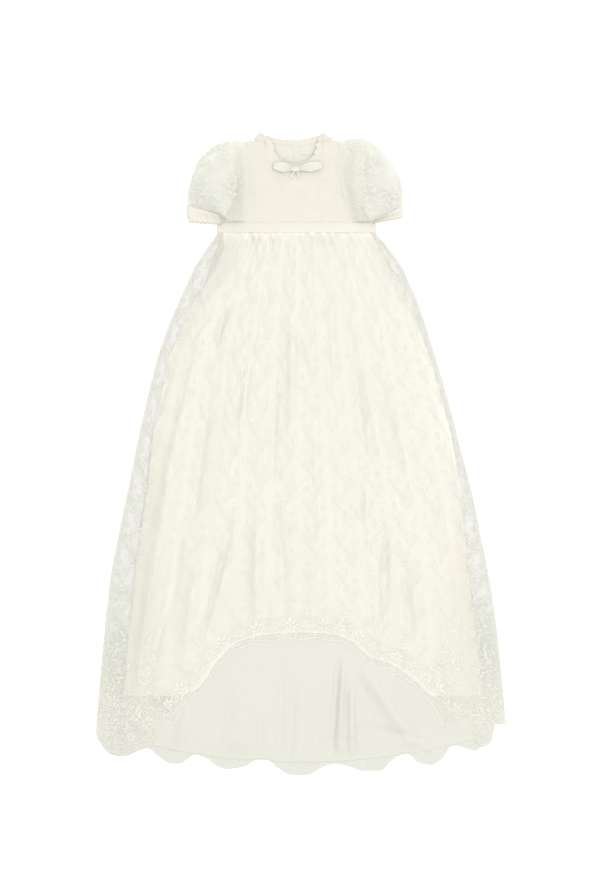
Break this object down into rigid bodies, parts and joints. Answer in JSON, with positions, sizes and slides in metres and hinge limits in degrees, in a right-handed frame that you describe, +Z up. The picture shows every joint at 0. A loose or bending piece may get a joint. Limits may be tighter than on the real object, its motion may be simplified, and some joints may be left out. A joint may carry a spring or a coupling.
{
  "type": "christening gown",
  "caption": "Long christening gown laid flat: lace bodice, puff sleeves, frilled neck with a bow, ribbon waistband and gathered lace skirt whose front hem arches over its lining.",
  "frame": {"origin": "on the surface the gown lies on, under the middle of its bounding box", "axes": "+X to the right of the gown as seen from above, +Y from hem to neck, +Z up from the surface"},
  "size_m": [0.6399, 0.9999, 0.034],
  "materials": {
    "lace": "ivory embroidered net",
    "lining": "ivory plain weave",
    "ribbon": "ivory satin"
  },
  "bodies": {
    "root": {"bodice_front": "lace", "bodice_back_left": "lace", "bodice_back_right": "lace", "neck_frill_front": "lace", "neck_frill_back": "lace", "bow_loop_left": "ribbon", "bow_loop_right": "ribbon", "bow_knot": "ribbon", "bow_tail_left": "ribbon", "bow_tail_right": "ribbon", "sleeve_left": "lace", "sleeve_right": "lace", "cuff_left": "lace", "cuff_right": "lace", "waistband_front": "ribbon", "waistband_back": "ribbon", "skirt_front_lace": "lace", "skirt_front_lining": "lining", "skirt_back_lining": "lining", "skirt_back_lace": "lace"}
  },
  "joints": []
}
